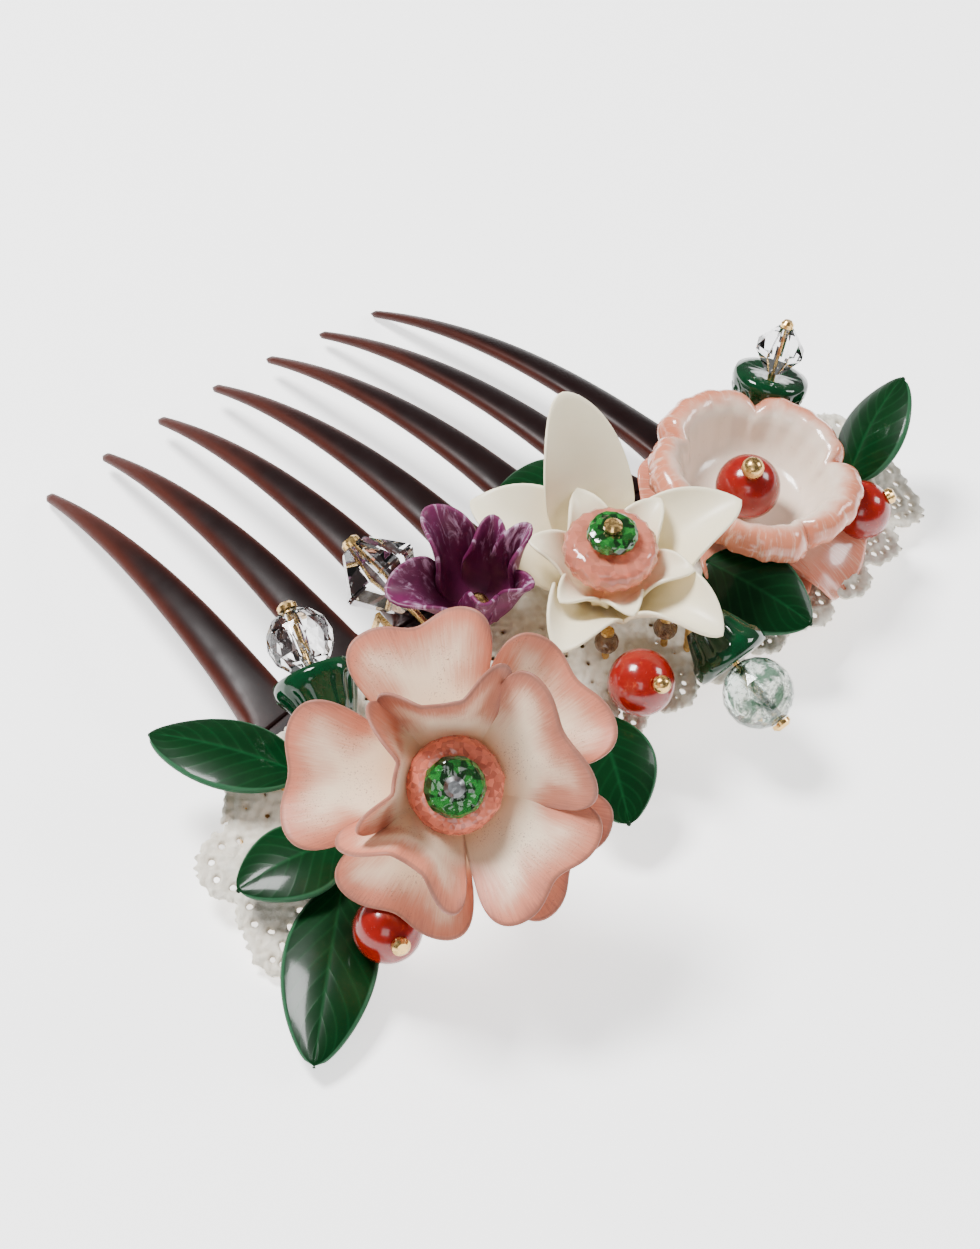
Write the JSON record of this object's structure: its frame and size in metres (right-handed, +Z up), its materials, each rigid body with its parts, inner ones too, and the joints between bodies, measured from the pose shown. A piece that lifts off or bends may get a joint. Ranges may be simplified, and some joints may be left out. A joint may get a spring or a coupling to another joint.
{
  "type": "decorative hair comb",
  "caption": "Arched hair comb with long curved teeth and, along its spine, a wired spray of enamelled flowers, leaves, beads and crystals on lace.",
  "frame": {"origin": "on the table the comb lies on, straight below the tooth side of the spine at the middle tooth", "axes": "+X along the spine, +Y along the teeth towards their tips, +Z up, away from the table"},
  "size_m": [0.1203, 0.1021, 0.0381],
  "materials": {
    "tortoiseshell": "polished, translucent dark brown",
    "gilt_plate": "satin, gold coloured",
    "lace": "matt cotton lace",
    "gilt_wire": "bright, gold coloured",
    "pink_enamel": "matt airbrushed enamel",
    "cream_enamel": "satin enamel",
    "blush_enamel": "gloss enamel",
    "purple_enamel": "matt enamel",
    "green_enamel": "gloss enamel",
    "coral_bead": "polished",
    "coral_crystal": "faceted",
    "green_crystal": "faceted",
    "clear_crystal": "faceted",
    "green_glass": "fluted",
    "amber_glass": "faceted",
    "silver_pin": "bright"
  },
  "bodies": {
    "comb_body": {"comb": "tortoiseshell", "mounting_plate": "gilt_plate", "lace_base": "lace", "binding_wire": "gilt_wire", "pink_outer_petals": "pink_enamel", "pink_inner_petals": "pink_enamel", "pink_coral_crystal": "coral_crystal", "pink_green_crystal": "green_crystal", "pink_stem": "gilt_wire", "pink_pin": "silver_pin", "cream_outer_petals": "cream_enamel", "cream_inner_petals": "cream_enamel", "cream_coral_crystal": "coral_crystal", "cream_green_crystal": "green_crystal", "cream_pin": "gilt_wire", "blush_lower_petals": "blush_enamel", "blush_cup": "blush_enamel", "blush_bead": "coral_bead", "blush_pin": "gilt_wire", "purple_petals": "purple_enamel", "purple_pin": "gilt_wire", "leaf_left": "green_enamel", "leaf_low_left": "green_enamel", "leaf_front": "green_enamel", "leaf_middle": "green_enamel", "leaf_rear": "green_enamel", "leaf_right": "green_enamel", "leaf_back": "green_enamel", "leaf_wires": "gilt_wire", "front_bead_pin": "gilt_wire", "middle_bead_pin": "gilt_wire", "rear_bead_pin": "gilt_wire", "left_pin": "gilt_wire", "bicone_pin": "gilt_wire", "rear_pin": "gilt_wire", "front_pin": "gilt_wire", "amber_beads": "amber_glass", "amber_wire": "gilt_wire"},
    "front_red_bead_body": {"front_red_bead": "coral_bead"},
    "middle_red_bead_body": {"middle_red_bead": "coral_bead"},
    "rear_red_bead_body": {"rear_red_bead": "coral_bead"},
    "left_crystal_body": {"left_crystal": "clear_crystal"},
    "left_cone_body": {"left_cone": "green_glass"},
    "bicone_crystal_body": {"bicone_crystal": "clear_crystal"},
    "rear_crystal_body": {"rear_crystal": "clear_crystal"},
    "rear_cone_body": {"rear_cone": "green_glass"},
    "front_crystal_body": {"front_crystal": "clear_crystal"},
    "front_cone_body": {"front_cone": "green_glass"}
  },
  "joints": [
    {"name": "front_red_bead_spin", "type": "hinge", "parent": "comb_body", "child": "front_red_bead_body", "pos_m": [-0.0448, -0.0333, 0.009], "axis": [-0.3214, -0.883, 0.342], "continuous": true},
    {"name": "middle_red_bead_spin", "type": "hinge", "parent": "comb_body", "child": "middle_red_bead_body", "pos_m": [-0.0004, -0.027, 0.014], "axis": [-0.1066, -0.7586, 0.6428], "continuous": true},
    {"name": "rear_red_bead_spin", "type": "hinge", "parent": "comb_body", "child": "rear_red_bead_body", "pos_m": [0.0436, -0.0206, 0.0102], "axis": [0.75, -0.433, 0.5], "continuous": true},
    {"name": "left_crystal_spin", "type": "hinge", "parent": "comb_body", "child": "left_crystal_body", "pos_m": [-0.0307, -0.0009, 0.02], "axis": [0.2477, 0.864, 0.4384], "continuous": true},
    {"name": "left_cone_spin", "type": "hinge", "parent": "comb_body", "child": "left_cone_body", "pos_m": [-0.0307, -0.0009, 0.02], "axis": [0.2477, 0.864, 0.4384], "continuous": true},
    {"name": "bicone_crystal_spin", "type": "hinge", "parent": "comb_body", "child": "bicone_crystal_body", "pos_m": [-0.0158, 0.0022, 0.0189], "axis": [-0.1685, 0.8667, 0.4695], "continuous": true},
    {"name": "rear_crystal_spin", "type": "hinge", "parent": "comb_body", "child": "rear_crystal_body", "pos_m": [0.0458, -0.0013, 0.017], "axis": [0.3462, 0.0928, 0.9336], "continuous": true},
    {"name": "rear_cone_spin", "type": "hinge", "parent": "comb_body", "child": "rear_cone_body", "pos_m": [0.0458, -0.0013, 0.017], "axis": [0.3462, 0.0928, 0.9336], "continuous": true},
    {"name": "front_crystal_spin", "type": "hinge", "parent": "comb_body", "child": "front_crystal_body", "pos_m": [0.0113, -0.0351, 0.011], "axis": [0.0462, -0.8817, -0.4695], "continuous": true},
    {"name": "front_cone_spin", "type": "hinge", "parent": "comb_body", "child": "front_cone_body", "pos_m": [0.0113, -0.0351, 0.011], "axis": [0.0462, -0.8817, -0.4695], "continuous": true}
  ]
}
